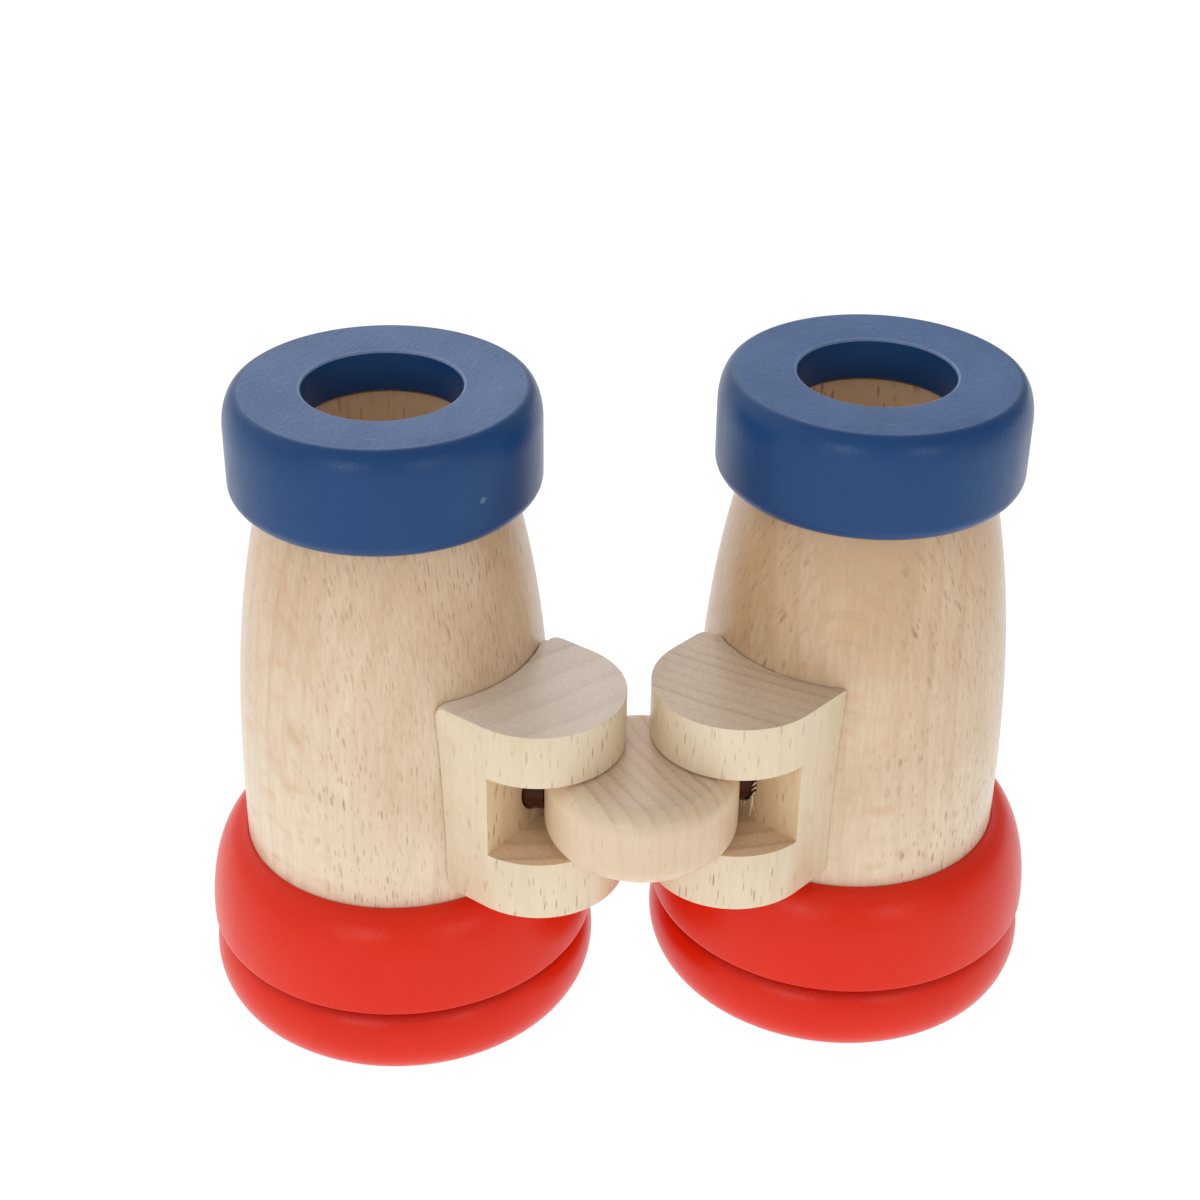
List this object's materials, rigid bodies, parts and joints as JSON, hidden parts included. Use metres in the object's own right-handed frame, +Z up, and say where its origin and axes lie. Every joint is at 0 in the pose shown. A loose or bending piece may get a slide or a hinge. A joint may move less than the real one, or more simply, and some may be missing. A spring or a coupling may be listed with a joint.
{
  "type": "toy binoculars",
  "caption": "Wooden toy binoculars for pretend play: turned barrels with lacquered rings, joined by slotted brackets that fold on a round disc held by an elastic cord.",
  "frame": {"origin": "on the floor, under the middle of the whole toy as it stands folded", "axes": "+Z up along the barrels to the eyepieces, +X to the right barrel, -Y to the side that the bridge folds to"},
  "size_m": [0.0972, 0.0514, 0.0761],
  "materials": {
    "barrel_beech": "bare turned beech, sanded, with fine dark flecks along the grain",
    "bracket_beech": "bare sawn and sanded beech",
    "disc_beech": "bare turned beech with rounded edges",
    "blue_lacquer": "satin blue lacquer on beech, flat top sanded matt",
    "red_lacquer": "satin red lacquer on beech",
    "elastic": "glossy dark brown elastic cord"
  },
  "bodies": {
    "bridge": {"hinge_disc": "disc_beech", "cord_middle": "elastic"},
    "left_half": {"left_barrel": "barrel_beech", "left_eyepiece_ring": "blue_lacquer", "left_objective_ring": "red_lacquer", "left_bracket": "bracket_beech", "left_cord_end": "elastic"},
    "right_half": {"right_barrel": "barrel_beech", "right_eyepiece_ring": "blue_lacquer", "right_objective_ring": "red_lacquer", "right_bracket": "bracket_beech", "right_cord_end": "elastic"}
  },
  "joints": [
    {"name": "left_fold", "type": "hinge", "parent": "bridge", "child": "left_half", "pos_m": [0, -0.01528, 0.0353], "axis": [0, 0, 1], "range_deg": [-8, 42]},
    {"name": "right_fold", "type": "hinge", "parent": "bridge", "child": "right_half", "pos_m": [0, -0.01528, 0.0353], "axis": [0, 0, -1], "range_deg": [-8, 42]}
  ]
}
